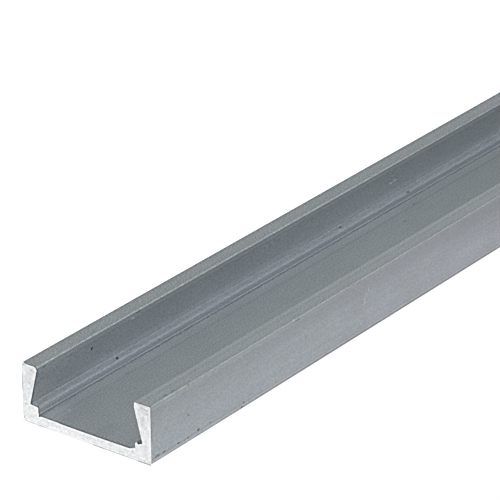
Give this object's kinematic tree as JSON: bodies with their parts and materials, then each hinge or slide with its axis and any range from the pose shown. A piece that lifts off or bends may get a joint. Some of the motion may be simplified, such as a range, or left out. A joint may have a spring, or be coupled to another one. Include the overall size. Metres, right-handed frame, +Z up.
{
  "type": "aluminium led profile",
  "caption": "Flat one-piece channel for an LED strip, with undercut walls and inner ledges that hold a snap-in cover.",
  "frame": {"origin": "centre of the profile's underside, on the level surface it lies on", "axes": "+Y along the profile's length, +Z up out of the open side, +X across it to the outer face of one wall"},
  "size_m": [0.0154, 1, 0.006],
  "materials": {
    "anodised": "matt silver anodised, with fine lengthwise die lines"
  },
  "bodies": {
    "root": {"led_profile": "anodised"}
  },
  "joints": []
}
